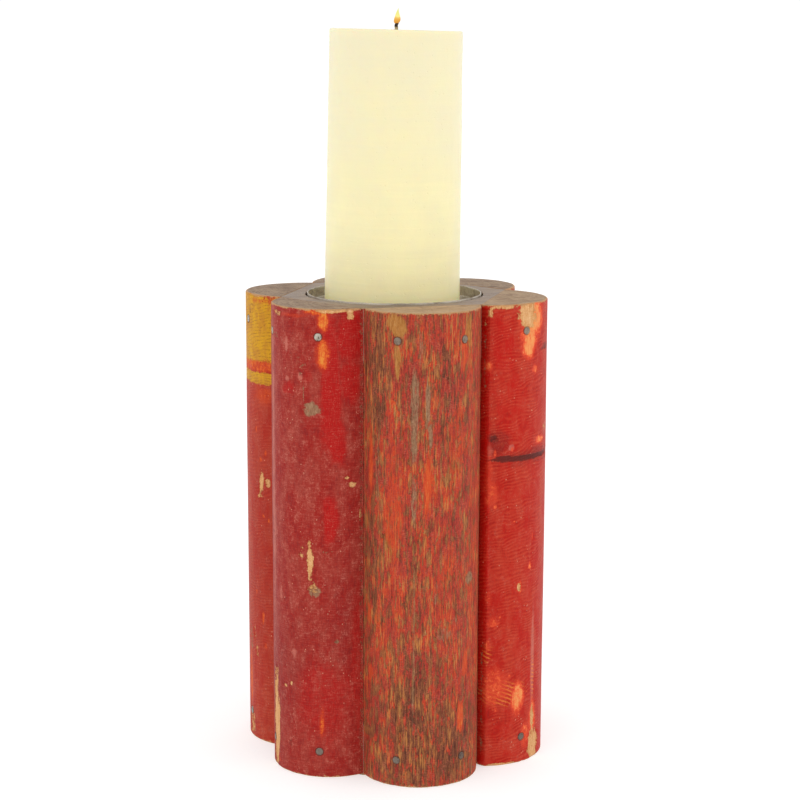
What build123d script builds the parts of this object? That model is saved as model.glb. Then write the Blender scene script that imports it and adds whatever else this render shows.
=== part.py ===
from build123d import *
import math
import os

# Pillar candle holder. Six half-round wooden staves stand round two hexagonal end blocks and are
# nailed to them near the top and the foot. The top block has a shallow round recess, lined with a
# thin metal pan, and a pillar candle stands in the pan. Between the blocks the holder is hollow.
#
# Millimetres, +Z up. The origin is the middle of the foot, and the front stave faces -Y.

# ---- Driving sizes ----

holder_height = 262.0

# The end blocks and the hollow core
core_across_flats = 114.6
block_thickness = 30.0

# Staves: the back lies on a side of the hexagon, and the front is one arc
stave_thickness = 28.5
stave_side_gap = 0.1  # left between a stave's edge and the plane it shares with its neighbour
stave_arris_round = 0.8  # rounding of the curved face's top and bottom edges

# Wire nails, two at each end of each stave, square to the curved face
nail_length = 38.0
nail_shank_diameter = 2.0
nail_head_diameter = 4.0
nail_head_thickness = 0.9
nail_point_length = 3.0
nail_end_distance = 15.0  # from the end of the stave to the heads
nail_spread = 34.0  # degrees either side of the stave's middle
nail_head_sink = 0.3  # how far the heads are driven below the surface
nail_crossing_gap = 0.8  # least gap between a pair's shanks, which cross inside the block
nail_hole_clearance = 0.05  # radial

# Recess in the top block, and the pan that lines it
recess_diameter = 100.0
recess_depth = 6.5
pan_clearance = 0.6  # radial, round the outside of the pan
pan_sheet = 0.6
pan_bend_radius = 1.2  # inside radius between floor and wall
pan_rim_height = 0.7  # how far the rim stands above the wood

# Pillar candle, 3 by 6 inches, drawn in slightly towards the top
candle_foot_diameter = 76.2
candle_top_diameter = 73.6
candle_length = 152.4
candle_arris_round = 1.2
wick_diameter = 2.4
wick_out = 5.5  # length that stands out of the wax
wick_foot = 3.0  # height of the wick's lower end inside the wax
wick_hole_clearance = 0.05  # radial

# The staves in order round the holder. They are old turned posts sawn by hand, so each has its own:
#   thicker    how much thicker than stave_thickness it is
#   fuller     how far its arc reaches past the hexagon's corners, or falls short of them, each side
#   turn       how far round it sits from its even place, in degrees
#   nail_turn  how far its nails sit off its middle, in degrees
staves = {
    "front": {"thicker": -0.7, "fuller": -0.4, "turn": 0.0, "nail_turn": -3.5},
    "front_right": {"thicker": 2.0, "fuller": 2.0, "turn": -2.3, "nail_turn": 0.0},
    "back_right": {"thicker": 0.1, "fuller": 0.3, "turn": 0.0, "nail_turn": 1.0},
    "back": {"thicker": 1.0, "fuller": 0.8, "turn": 0.0, "nail_turn": -1.5},
    "back_left": {"thicker": 0.8, "fuller": 0.2, "turn": 0.0, "nail_turn": 0.0},
    "front_left": {"thicker": -3.2, "fuller": -1.5, "turn": 0.0, "nail_turn": 0.5},
}

# ---- Sizes that follow ----

front_angle = -90.0
stave_step = 360.0 / len(staves)
half_step = math.radians(stave_step / 2)
core_inradius = core_across_flats / 2
core_corner_radius = core_inradius / math.cos(half_step)
block_half_side = core_inradius * math.tan(half_step)
recess_floor = holder_height - recess_depth
pan_radius = recess_diameter / 2 - pan_clearance
pan_floor = recess_floor + pan_sheet
pan_rim = holder_height + pan_rim_height
candle_top = pan_floor + candle_length
wick_top = candle_top + wick_out

BOTTOM = (Align.CENTER, Align.CENTER, Align.MIN)
TOP = (Align.CENTER, Align.CENTER, Align.MAX)


def stave_angle(name):
    """Direction from the holder's axis to the side of the hexagon that a stave stands on."""
    return front_angle + stave_step * list(staves).index(name)


def stave_arc(name):
    """Radius and centre of a stave's arc, with the stave on +X. The arc goes through its crest
    and through a point beside each corner of the hexagon."""
    thickness = stave_thickness + staves[name]["thicker"]
    half_width = block_half_side + staves[name]["fuller"]
    radius = (half_width**2 + thickness**2) / (2 * thickness)
    turn = math.radians(staves[name]["turn"])
    centre = Vector(math.cos(turn), math.sin(turn)) * (core_inradius + thickness - radius)
    return radius, centre


def stave_blank(name):
    """One stave before its nails, on +X, cut off at the block and at its neighbours' planes."""
    radius, centre = stave_arc(name)
    side_shift = stave_side_gap / math.sin(half_step)
    reach = core_inradius + 2 * radius
    near = (core_inradius - side_shift) * math.tan(half_step)
    far = (reach - side_shift) * math.tan(half_step)
    room = Polygon(
        (core_inradius, -near), (reach, -far), (reach, far), (core_inradius, near), align=None
    )
    outline = Pos(centre.X, centre.Y) * Circle(radius) & room
    blank = extrude(outline, holder_height, dir=(0, 0, 1))
    return fillet(blank.edges().filter_by(GeomType.CIRCLE), stave_arris_round)


def nail(oversize=0.0, head_run=0.0):
    """A wire nail along Z with its head's top at 0 and its point down. A hole for it is the same
    shape, oversize larger all round and carried on above the head by head_run."""
    shank_radius = nail_shank_diameter / 2 + oversize
    shank_length = nail_length - nail_point_length
    head = Pos(0, 0, head_run) * Cylinder(
        nail_head_diameter / 2 + oversize,
        nail_head_thickness + oversize + head_run,
        align=TOP,
    )
    shank = Cylinder(shank_radius, shank_length, align=TOP)
    point = Pos(0, 0, -shank_length) * Rot(180, 0, 0) * Cone(
        shank_radius, oversize, nail_point_length + oversize, align=BOTTOM
    )
    return head + shank + point


def nail_places(name):
    """Where a stave's four nails go: planes on the heads, facing out of the wood."""
    radius, centre = stave_arc(name)
    around = math.radians(stave_angle(name))
    middle = around + math.radians(staves[name]["turn"] + staves[name]["nail_turn"])
    centre = centre.rotate(Axis.Z, math.degrees(around))
    # One nail of a pair slopes up and the other down, so that they pass where they would meet.
    toe = math.atan((nail_shank_diameter + nail_crossing_gap) / 2 / radius)
    places = []
    for height in (nail_end_distance, holder_height - nail_end_distance):
        for side in (-1, 1):
            bearing = middle + math.radians(side * nail_spread)
            level = Vector(math.cos(bearing), math.sin(bearing))
            outward = level * math.cos(toe) + Vector(0, 0, side * math.sin(toe))
            head_at = centre + level * (radius - nail_head_sink) + Vector(0, 0, height)
            places.append(Plane(origin=head_at, z_dir=outward))
    return places


def nail_holes(names):
    """Cutting shapes for the nails of these staves."""
    tool = nail(nail_hole_clearance, head_run=stave_thickness)
    return [place * tool for name in names for place in nail_places(name)]


def hexagon_block(thickness):
    """An end block whose flats face the staves' backs, with its foot at 0."""
    outline = RegularPolygon(core_corner_radius, len(staves), rotation=stave_step / 2)
    return extrude(Rot(0, 0, front_angle) * outline, thickness)


def recess():
    """Cutting shape for the pan's recess, open at the top."""
    return Pos(0, 0, recess_floor) * Cylinder(
        recess_diameter / 2, recess_depth * 2, align=BOTTOM
    )


def top_block():
    block = Pos(0, 0, holder_height - block_thickness) * hexagon_block(block_thickness)
    return block - recess() - nail_holes(staves)


def bottom_block():
    return hexagon_block(block_thickness) - nail_holes(staves)


def candle_pan():
    """A pressed dish: a flat floor, a bend and an upright wall with a rounded rim."""
    height = pan_rim - recess_floor
    dish = Cylinder(pan_radius, height, align=BOTTOM)
    dish = fillet(dish.edges().group_by(Axis.Z)[0], pan_bend_radius + pan_sheet)
    inside = Pos(0, 0, pan_sheet) * Cylinder(pan_radius - pan_sheet, height, align=BOTTOM)
    inside = fillet(inside.edges().group_by(Axis.Z)[0], pan_bend_radius)
    dish = dish - inside
    dish = fillet(dish.edges().group_by(Axis.Z)[-1], pan_sheet * 0.4)
    return Pos(0, 0, recess_floor) * dish


def candle_wax():
    body = Cone(
        candle_foot_diameter / 2, candle_top_diameter / 2, candle_length, align=BOTTOM
    )
    body = fillet(body.edges().group_by(Axis.Z)[-1], candle_arris_round)
    wick_hole = Pos(0, 0, wick_foot) * Cylinder(
        wick_diameter / 2 + wick_hole_clearance, candle_length, align=BOTTOM
    )
    return Pos(0, 0, pan_floor) * (body - wick_hole)


def candle_wick():
    foot = pan_floor + wick_foot
    wick = Cylinder(wick_diameter / 2, wick_top - foot, align=BOTTOM)
    wick = fillet(wick.edges().group_by(Axis.Z)[-1], wick_diameter / 4)
    return Pos(0, 0, foot) * wick


# ---- The parts ----

parts = {}
one_nail = nail()
for name in staves:
    stave = Rot(0, 0, stave_angle(name)) * (stave_blank(name) - recess())
    parts[f"stave_{name}"] = stave - nail_holes([name])
    parts[f"nails_{name}"] = Compound([place * one_nail for place in nail_places(name)])
parts["top_block"] = top_block()
parts["bottom_block"] = bottom_block()
parts["candle_pan"] = candle_pan()
parts["candle_wax"] = candle_wax()
parts["candle_wick"] = candle_wick()

os.makedirs("parts", exist_ok=True)
for node, shape in parts.items():
    shape.label = node
    export_step(shape, f"parts/{node}.step")
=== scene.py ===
"""Looks of the pillar candle holder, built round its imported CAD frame. Metres, +Z up."""

import math

import bpy
import numpy as np
from mathutils import Matrix, Vector
from mathutils.bvhtree import BVHTree


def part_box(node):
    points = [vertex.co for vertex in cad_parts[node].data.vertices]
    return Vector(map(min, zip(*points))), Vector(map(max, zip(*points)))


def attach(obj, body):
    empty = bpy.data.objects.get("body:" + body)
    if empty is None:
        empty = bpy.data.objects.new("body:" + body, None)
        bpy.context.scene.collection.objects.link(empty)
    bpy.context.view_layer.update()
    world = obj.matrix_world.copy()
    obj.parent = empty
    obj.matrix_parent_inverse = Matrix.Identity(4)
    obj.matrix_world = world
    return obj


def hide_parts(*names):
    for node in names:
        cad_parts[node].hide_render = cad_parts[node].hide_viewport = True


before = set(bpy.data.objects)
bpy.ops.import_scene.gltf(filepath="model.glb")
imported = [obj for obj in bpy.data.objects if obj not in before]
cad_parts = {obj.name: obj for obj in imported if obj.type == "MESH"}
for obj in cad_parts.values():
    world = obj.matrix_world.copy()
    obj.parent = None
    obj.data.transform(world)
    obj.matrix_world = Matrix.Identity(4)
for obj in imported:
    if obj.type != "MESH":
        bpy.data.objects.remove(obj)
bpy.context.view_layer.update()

MM = 0.001
HOLDER = "holder"
CANDLE = "candle"
STAVES = ["front", "front_right", "back_right", "back", "back_left", "front_left"]
FRONT_ANGLE = math.radians(-90)
STAVE_STEP = math.radians(360 / len(STAVES))

# ---- Places and sizes read from the frame, in millimetres ----

block_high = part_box("top_block")[1]
pan_low, pan_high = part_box("candle_pan")
wax_low, wax_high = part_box("candle_wax")
wick_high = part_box("candle_wick")[1]
TOP = block_high.z / MM
CORE_INRADIUS = block_high.y / MM
PAN_RADIUS = pan_high.x / MM
PAN_FOOT = pan_low.z / MM
PAN_RIM = pan_high.z / MM
WAX_FOOT = wax_low.z / MM
WAX_TOP = wax_high.z / MM
WAX_FOOT_RADIUS = wax_high.x / MM
WICK_RADIUS = wick_high.x / MM
WICK_TOP = wick_high.z / MM
PAN_CLEARANCE = 0.6


def stave_angle(name):
    return FRONT_ANGLE + STAVE_STEP * STAVES.index(name)


def rotation(angle):
    """2 by 2 matrix that turns row vectors by angle."""
    c, s = math.cos(angle), math.sin(angle)
    return np.array([[c, s], [-s, c]])


def stave_arc(name):
    """Radius and centre of a stave's round face with the stave on +X, from rays at mid height."""
    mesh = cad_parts[f"stave_{name}"].data
    tree = BVHTree.FromPolygons(
        [v.co for v in mesh.vertices], [p.vertices for p in mesh.polygons]
    )
    outside = 0.2
    rows, sums = [], []
    for bearing in np.radians(np.arange(-24, 25, 3)):
        a = stave_angle(name) + bearing
        out = Vector((math.cos(a), math.sin(a), 0))
        hit = tree.ray_cast(out * outside + Vector((0, 0, block_high.z / 2)), -out)[0]
        x, y = np.array([hit.x, hit.y]) @ rotation(-stave_angle(name)) / MM
        rows.append([2 * x, 2 * y, 1])
        sums.append(x * x + y * y)
    cx, cy, rest = np.linalg.lstsq(np.array(rows), np.array(sums), rcond=None)[0]
    return math.sqrt(rest + cx * cx + cy * cy), np.array([cx, cy])


def nail_heads(name, radius, centre):
    """Arc length from the crest and height of each of a stave's nail heads, from its CAD nails."""
    turn = math.atan2(centre[1], centre[0])
    co = np.array([v.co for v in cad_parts[f"nails_{name}"].data.vertices]) / MM
    local = co[:, :2] @ rotation(-stave_angle(name)) - centre
    outer = np.hypot(*local.T) > radius - 0.5
    along = (np.arctan2(local[:, 1], local[:, 0]) - turn) * radius
    heads = []
    for low in (True, False):
        for left in (True, False):
            mine = outer & ((co[:, 2] < TOP / 2) == low) & ((along < 0) == left)
            heads.append((along[mine].mean(), co[mine, 2].mean()))
    return heads


# ---- Mesh helpers ----


def smooth_noise(u, v, size_u, size_v, seed, octaves=3):
    """Smooth noise about 0, within about -1 to 1, with blobs size_u by size_v."""
    table = np.random.default_rng(seed).random((64, 64)) * 2 - 1
    total, weight, gain = 0.0, 0.0, 1.0
    for octave in range(octaves):
        a = np.asarray(u) / size_u * 2**octave + 17.3 * octave
        b = np.asarray(v) / size_v * 2**octave + 9.1 * octave
        a, b = np.broadcast_arrays(a, b)
        i, j = np.floor(a).astype(int), np.floor(b).astype(int)
        s, t = a - i, b - j
        s, t = s * s * (3 - 2 * s), t * t * (3 - 2 * t)
        corner = lambda p, q: table[(i + p) % 64, (j + q) % 64]
        low = corner(0, 0) * (1 - s) + corner(1, 0) * s
        high = corner(0, 1) * (1 - s) + corner(1, 1) * s
        total = total + gain * (low * (1 - t) + high * t)
        weight += gain
        gain *= 0.5
    return total / weight


def smooth_step(x, low, high):
    t = np.clip((np.asarray(x) - low) / (high - low), 0, 1)
    return t * t * (3 - 2 * t)


def loft(name, rings, body, material, replaces=(), fields=None, sharp=40):
    """A closed piece through rings of points in millimetres, each end drawn to its middle.
    fields are values at each ring point that the material reads as attributes."""
    rings = np.asarray(rings, float)
    count, around = rings.shape[:2]
    ends = [rings[0].mean(0), rings[-1].mean(0)]
    vertices = np.concatenate([rings.reshape(-1, 3), ends]) * MM
    index = np.arange(count * around).reshape(count, around)
    after = np.roll(index, -1, axis=1)
    quads = np.stack([index[:-1], after[:-1], after[1:], index[1:]], -1).reshape(-1, 4)
    foot, head = count * around, count * around + 1
    faces = quads.tolist()
    faces += [[foot, b, a] for a, b in zip(index[0], after[0])]
    faces += [[head, a, b] for a, b in zip(index[-1], after[-1])]
    mesh = bpy.data.meshes.new(name)
    mesh.from_pydata(vertices.tolist(), [], faces)
    for key, values in (fields or {}).items():
        values = np.asarray(values, np.float32)
        wide = values.ndim == 3
        kind = "FLOAT_VECTOR" if wide else "FLOAT"
        flat = values.reshape(-1, 3) if wide else values.reshape(-1)
        ends = [values[0].mean(0), values[-1].mean(0)]
        layer = mesh.attributes.new(key, kind, "POINT")
        layer.data.foreach_set(
            "vector" if wide else "value", np.concatenate([flat, ends]).ravel()
        )
    mesh.polygons.foreach_set("use_smooth", [True] * len(mesh.polygons))
    mesh.set_sharp_from_angle(angle=math.radians(sharp))
    mesh.validate()
    mesh.materials.append(material)
    piece = bpy.data.objects.new(name, mesh)
    bpy.context.scene.collection.objects.link(piece)
    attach(piece, body)
    if replaces:
        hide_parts(*replaces)


# ---- Material helpers ----


def srgb(red, green, blue):
    """Linear colour from 0 to 255 screen values."""
    share = np.array([red, green, blue]) / 255
    linear = np.where(share <= 0.04045, share / 12.92, ((share + 0.055) / 1.055) ** 2.4)
    return (*(float(x) for x in linear), 1.0)


class Look:
    """A node material, with short calls for the nodes that it is made of. A plain colour is three
    0 to 255 screen values."""

    def __init__(self, name):
        self.material = bpy.data.materials.new(name)
        self.material.use_nodes = True
        self.tree = self.material.node_tree
        self.tree.nodes.clear()
        self.shader = self.tree.nodes.new("ShaderNodeBsdfPrincipled")
        output = self.tree.nodes.new("ShaderNodeOutputMaterial")
        self.tree.links.new(self.shader.outputs[0], output.inputs["Surface"])

    def put(self, socket, value):
        if isinstance(value, bpy.types.NodeSocket):
            self.tree.links.new(value, socket)
        else:
            socket.default_value = value

    def set(self, **values):
        """Inputs of the shader: base_color="..." sets Base Color."""
        for key, value in values.items():
            words = key.replace("_", " ").title().replace("Ior", "IOR")
            self.put(self.shader.inputs[words], value)

    def node(self, kind, inputs, output=0, **settings):
        """An output of a new node, with its inputs given by name or number."""
        node = self.tree.nodes.new(f"ShaderNode{kind}")
        for key, value in settings.items():
            setattr(node, key, value)
        for key, value in inputs.items():
            self.put(node.inputs[key], value)
        return node.outputs[output]

    def attribute(self, name, vector=False):
        return self.node("Attribute", {}, "Vector" if vector else "Fac", attribute_name=name)

    def position(self):
        """Place in the row frame, in millimetres."""
        return self.scaled(self.node("TexCoord", {}, "Object"), (1 / MM,) * 3)

    def scaled(self, vector, factors):
        return self.node("VectorMath", {0: vector, 1: factors}, operation="MULTIPLY")

    def axis(self, vector, which):
        return self.node("SeparateXYZ", {0: vector}, which)

    def noise(self, vector, sizes, detail=3.0, roughness=0.5, distortion=0.0):
        """Smooth noise from 0 to 1, with blobs of these sizes."""
        inputs = {"Vector": self.scaled(vector, tuple(1 / s for s in sizes)), "Scale": 1.0}
        inputs |= {"Detail": detail, "Roughness": roughness, "Distortion": distortion}
        return self.node("TexNoise", inputs)

    def cells(self, vector, sizes):
        """Distance from the middle of each of many cells of these sizes."""
        vector = self.scaled(vector, tuple(1 / s for s in sizes))
        return self.node("TexVoronoi", {"Vector": vector, "Scale": 1.0}, "Distance")

    def math(self, operation, a, b=0.0):
        return self.node("Math", {0: a, 1: b}, operation=operation)

    def times(self, a, b):
        return self.math("MULTIPLY", a, b)

    def sum(self, *terms):
        """Sum of (value, weight) pairs."""
        total = None
        for value, weight in terms:
            part = self.times(value, weight)
            total = part if total is None else self.math("ADD", total, part)
        return total

    def step(self, value, low, high, to_low=0.0, to_high=1.0):
        """Eases from to_low to to_high as value goes from low to high."""
        inputs = dict(enumerate((value, low, high, to_low, to_high)))
        return self.node("MapRange", inputs, interpolation_type="SMOOTHSTEP")

    def mix(self, share, a, b):
        a, b = (srgb(*colour) if isinstance(colour, tuple) else colour for colour in (a, b))
        return self.node("Mix", {0: share, 6: a, 7: b}, 2, data_type="RGBA")

    def wash(self, colour, tint, amount, value, low, high):
        """The colour with a tint over it, up to amount as value goes from low to high."""
        return self.mix(self.times(self.step(value, low, high), amount), colour, tint)

    def ramp(self, value, *stops):
        """Colours at places from 0 to 1."""
        socket = self.node("ValToRGB", {0: value})
        elements = socket.node.color_ramp.elements
        while len(elements) < len(stops):
            elements.new(0.5)
        for element, (place, colour) in zip(elements, stops):
            element.position = place
            element.color = srgb(*colour)
        return socket

    def layers(self, value, factor, *coats):
        """Old coats over each other: each colour holds from its place to the next one's, and
        value is multiplied by factor."""
        soft = 0.006  # half the width of the step from one coat to the next
        stops = []
        for (start, colour), (_, below) in zip(coats[1:], coats[:-1]):
            stops += [(start - soft, below), (start + soft, colour)]
        return self.ramp(self.times(value, factor), *stops)

    def bump(self, height, depth_mm):
        return self.node("Bump", {"Distance": depth_mm * MM, "Height": height})


# ---- Marks on the staves ----
# Each is (along, height, width, tall, strength): its middle along the curved face from the crest,
# to the right seen from outside, its height above the floor and its size, in millimetres, and its
# strength in percent. 100 covers the whole mark, and one near 50 breaks it up into flecks.

KINDS = ("wood", "orange", "yellow", "grey", "dark", "deep", "bright", "pale", "notch")

MARKS = {}
MARKS["front"] = {
    "wood": [
        (-22, 256, 13, 16, 95), (-22, 238, 6, 34, 75), (21, 250, 7, 26, 75), (-26, 132, 10, 28, 60),
        (-20, 36, 5, 80, 60), (22, 236, 5, 20, 60), (8, 178, 14, 30, 52), (-12, 100, 3, 190, 55),
        (-8, 26, 7, 60, 52), (12, 8, 24, 14, 50), (-30, 70, 14, 60, 50),
    ],
    "orange": [
        (-24, 160, 14, 90, 62), (-5, 166, 6, 44, 80), (17, 240, 5, 36, 70), (16, 38, 7, 26, 85),
        (20, 68, 7, 22, 75), (-40, 176, 5, 58, 75), (-40, 62, 5, 16, 70), (-41, 95, 5, 16, 70),
        (12, 190, 18, 60, 55), (8, 110, 26, 70, 52), (-28, 90, 24, 70, 50), (28, 130, 22, 200, 47),
        (-4, 205, 4, 40, 60), (12, 60, 20, 60, 50), (-24, 26, 20, 40, 50),
    ],
    "grey": [
        (-12, 205, 6, 74, 72), (-12.5, 160, 5, 40, 64), (-12, 80, 2.4, 170, 66), (-5, 214, 4, 30, 80),
        (-3.5, 196, 3, 16, 85), (23.5, 115, 7, 8, 80), (-9, 244, 3.5, 36, 62), (12, 94, 5, 9, 60),
        (0, 108, 5, 24, 56), (-34, 176, 4, 70, 56), (4, 86, 14, 10, 58), (6, 212, 18, 30, 46),
    ],
    "dark": [
        (-44.5, 232, 3, 62, 80), (-45, 130, 2.5, 30, 70), (-36, 212, 2, 50, 55), (4, 204, 2.4, 44, 60),
        (12, 194, 6, 12, 50), (-14, 186, 2, 50, 56), (-26, 142, 18, 14, 50), (-45, 50, 2, 60, 60),
        (-6.5, 232, 1.6, 40, 52),
    ],
    "deep": [
        (-35, 234, 16, 70, 90), (4, 238, 20, 46, 50), (10, 206, 18, 30, 50), (-12, 34, 22, 76, 90),
        (12, 24, 26, 50, 80), (-38, 120, 12, 60, 60), (-30, 18, 20, 40, 60),
    ],
    "bright": [
        (-25, 205, 4, 26, 80), (22, 232, 4, 20, 70), (6, 252, 26, 18, 50), (-22, 115, 12, 30, 50),
        (-18, 172, 5, 30, 60),
    ],
    "pale": [(10, 222, 24, 60, 45), (32, 150, 14, 200, 50), (2, 146, 14, 70, 40)],
}
MARKS["front_left"] = {
    "wood": [
        (-14, 26, 10, 60, 95), (14.5, 123, 4, 26, 90), (16, 108, 7, 9, 60), (38, 166, 5, 3.2, 85),
        (35, 170, 3.4, 1.8, 80), (9, 128, 5, 9, 50), (37.5, 258, 4.4, 4, 90), (26, 261, 22, 3, 90),
        (43, 150, 2, 10, 60), (1.5, 52, 2.4, 3, 75), (-3.5, 50, 4, 2.4, 75), (-10, 258, 10, 4, 60),
    ],
    "orange": [
        (22, 256, 6.5, 13, 100), (21.6, 237.5, 7.6, 18, 105), (21, 31, 3.4, 20, 75), (19, 260.5, 18, 4, 90),
        (3, 258, 26, 3, 60), (-12, 6, 10, 10, 60),
    ],
    "grey": [
        (16, 208, 9, 9, 100), (17, 107, 8, 8, 80), (11, 217, 1.2, 14, 70), (29, 78, 4, 4, 70),
        (38, 74, 5, 5, 50), (-12, 246, 12, 5, 55), (10, 233, 12, 16, 46), (24, 128, 9, 9, 47),
        (20, 50, 3, 50, 42),
    ],
    "dark": [
        (47, 240, 2.4, 44, 80), (1, 17, 3, 6, 66), (29, 78, 2.2, 2.4, 70), (47, 150, 1.8, 100, 55),
        (47, 30, 3, 60, 70),
    ],
    "deep": [(-4, 60, 60, 60, 30), (34, 90, 24, 50, 30), (10, 190, 10, 40, 30)],
    "bright": [
        (27, 218, 13, 78, 100), (37, 246, 17, 32, 95), (38, 224, 15, 28, 85), (26, 148, 9, 28, 95),
        (0, 218, 12, 10, 70), (30, 190, 12, 26, 95), (20, 46, 44, 66, 60), (41, 70, 10, 120, 60),
        (14, 226, 8, 10, 50),
    ],
    "pale": [
        (-16, 172, 6, 176, 100), (-7, 102, 3, 8, 90), (4, 70, 4, 6, 90), (-0.5, 242, 2, 10, 130),
        (9, 225, 3, 4, 140), (0, 223, 3.4, 3, 140), (2, 186, 26, 60, 40), (6, 244, 20, 20, 45),
        (10, 160, 20, 60, 40), (19, 94, 1.6, 1.6, 100), (4, 28, 20, 30, 30),
    ],
    "notch": [(37.5, 261, 3.8, 5.6, 100), (34, 262, 4, 2, 60)],
}
MARKS["front_right"] = {
    "wood": [
        (-20.5, 256, 12.5, 17, 100), (-10.5, 7, 12, 24, 95), (-36, 261, 18, 3, 80), (-43, 258, 4, 6, 70),
        (-24, 103, 3, 5, 80), (-11.5, 24, 4, 16, 80), (-33, 0.5, 28, 3, 80), (-46, 252, 4, 8, 55),
        (-1, 191, 4.4, 5, 60),
    ],
    "orange": [
        (-17, 254, 20, 25, 120), (-18.5, 242, 13, 22, 115), (-38, 46, 20, 24, 68), (-8, 185, 12, 5.4, 95),
        (-14, 225, 5, 5.4, 90), (-24, 38, 8.6, 19, 110), (-12, 24, 8, 24, 90), (-45, 228, 8, 7, 80),
        (-42, 158, 14, 16, 62), (-24, 103, 4.4, 8, 80), (-16, 114, 2.6, 4.6, 90), (-14, 131, 2, 6, 60),
        (-40, 84, 7, 7, 70), (-43, 70, 5, 7, 66), (-45, 50, 4, 16, 62), (-38, 33, 2.4, 3, 80),
        (-30, 52, 2.4, 2.6, 80), (-44, 166, 7, 36, 50), (-30, 182, 3, 3.6, 70), (-39.5, 150, 2.2, 3, 90),
        (-28, 141, 1.6, 1.6, 90), (-36, 87, 1.4, 1.6, 80), (-18, 16, 8, 16, 70), (-40, 180, 2.4, 5, 70),
        (-43, 98, 6, 12, 50), (-45, 125, 4, 30, 48),
    ],
    "yellow": [(-34, 42, 28, 15, 80), (-44, 66, 8, 14, 60), (-12, 48, 3, 30, 70)],
    "grey": [(-47, 228, 2, 50, 60), (-47, 40, 2, 70, 60), (-46, 12, 5, 14, 60)],
    "dark": [
        (-17, 176.3, 52, 3.4, 120), (-35, 177.2, 14, 3.6, 110), (-40.5, 189, 7, 6.5, 85),
        (-1, 236.4, 18, 4.4, 85),
    ],
    "deep": [(-38, 186, 14, 14, 70), (-12, 177, 50, 9, 70)],
    # The first bright mark, a tall strip by the edge next to the front stave, is painted light: it
    # brightens the paint that the front stave shades
    "bright": [(-48, 130, 10, 280, 120), (-34, 210, 26, 60, 50), (-36, 236, 20, 40, 60)],
    "pale": [
        (-12.5, 60, 3.4, 60, 100), (-2, 60, 10, 110, 40), (-4, 140, 14, 90, 35), (-30.5, 183, 4, 4, 120),
        (0, 191, 7, 7, 100), (-44, 181, 6, 8, 100), (3, 60, 5, 120, 50),
    ],
}
MARKS["back_left"] = {
    "wood": [
        (34.5, 154, 4.6, 15, 80), (39.5, 155, 5, 6, 75), (33, 146.5, 5, 3, 70), (29, 54, 4, 8, 60),
        (22, 10, 10, 20, 60), (26, 64, 3, 14, 50), (-18, 90, 8, 22, 70), (-30, 210, 6, 12, 70),
    ],
    "orange": [
        (35, 258.5, 40, 4, 50), (34, 221, 60, 7.5, 72), (36, 205, 24, 13, 56), (30, 185, 2, 4, 80),
        (34, 168, 2, 3, 80), (38, 172, 2, 4, 70), (36, 135, 2.4, 2.4, 80), (40, 133, 1.6, 3, 80),
        (29, 89, 2, 4, 60), (35, 75, 2.4, 8, 80), (37, 58, 3, 5, 60), (20, 34, 6, 34, 75),
        (0, 244, 40, 40, 50), (-20, 40, 12, 40, 55),
    ],
    "yellow": [
        (26, 243, 110, 50, 100), (28, 214.5, 80, 6.8, 100), (-24, 243, 60, 40, 95), (-24, 214, 40, 5, 80),
    ],
    "grey": [(21, 60, 5, 20, 60), (-6, 120, 6, 30, 60)],
    "dark": [(24, 252, 4, 6, 50), (25, 16, 3, 8, 50)],
    "deep": [(34, 120, 26, 160, 40)],
    "pale": [(20, 36, 7, 60, 60), (19, 140, 5, 200, 40)],
}
MARKS["back_right"] = {
    "wood": [
        (-16, 254, 12, 14, 90), (14, 30, 12, 50, 70), (26, 150, 5, 24, 70), (-30, 96, 6, 12, 80),
        (4, 206, 4, 16, 60),
    ],
    "orange": [
        (-14, 244, 8, 30, 90), (20, 120, 14, 60, 54), (-26, 60, 14, 46, 60), (30, 226, 10, 30, 62),
        (2, 160, 8, 30, 56), (14, 40, 16, 60, 60),
    ],
    "yellow": [(34, 60, 12, 90, 55), (-2, 100, 6, 40, 50)],
    "grey": [(-6, 60, 8, 10, 80), (10, 190, 5, 50, 60), (-34, 190, 6, 30, 60)],
    "dark": [(0, 128, 70, 2.6, 62), (24, 18, 6, 8, 60)],
    "deep": [(-30, 150, 20, 120, 60), (20, 220, 20, 60, 50)],
    "bright": [(0, 230, 40, 40, 70), (-6, 90, 24, 60, 60)],
    "pale": [(14, 150, 20, 120, 45)],
}
MARKS["back"] = {
    "wood": [
        (-24, 252, 14, 18, 80), (8, 140, 7, 34, 75), (28, 40, 8, 34, 80), (-10, 66, 4, 22, 70),
        (-34, 150, 6, 40, 60), (20, 256, 16, 8, 70),
    ],
    "orange": [
        (-20, 170, 16, 100, 56), (10, 120, 12, 80, 58), (24, 210, 10, 60, 60), (-6, 30, 24, 50, 58),
        (-36, 90, 8, 60, 60),
    ],
    "yellow": [(30, 120, 14, 60, 55), (-14, 230, 8, 30, 55)],
    "grey": [(0, 200, 6, 90, 70), (-28, 50, 5, 70, 60), (16, 90, 8, 10, 75)],
    "dark": [(-4, 160, 2, 80, 60), (32, 180, 2, 60, 60), (12, 60, 2, 60, 55)],
    "deep": [(-30, 210, 24, 90, 70), (14, 30, 34, 60, 70)],
    "bright": [(6, 236, 30, 40, 60), (-12, 110, 20, 40, 60)],
    "pale": [(18, 160, 26, 120, 45)],
}
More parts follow.
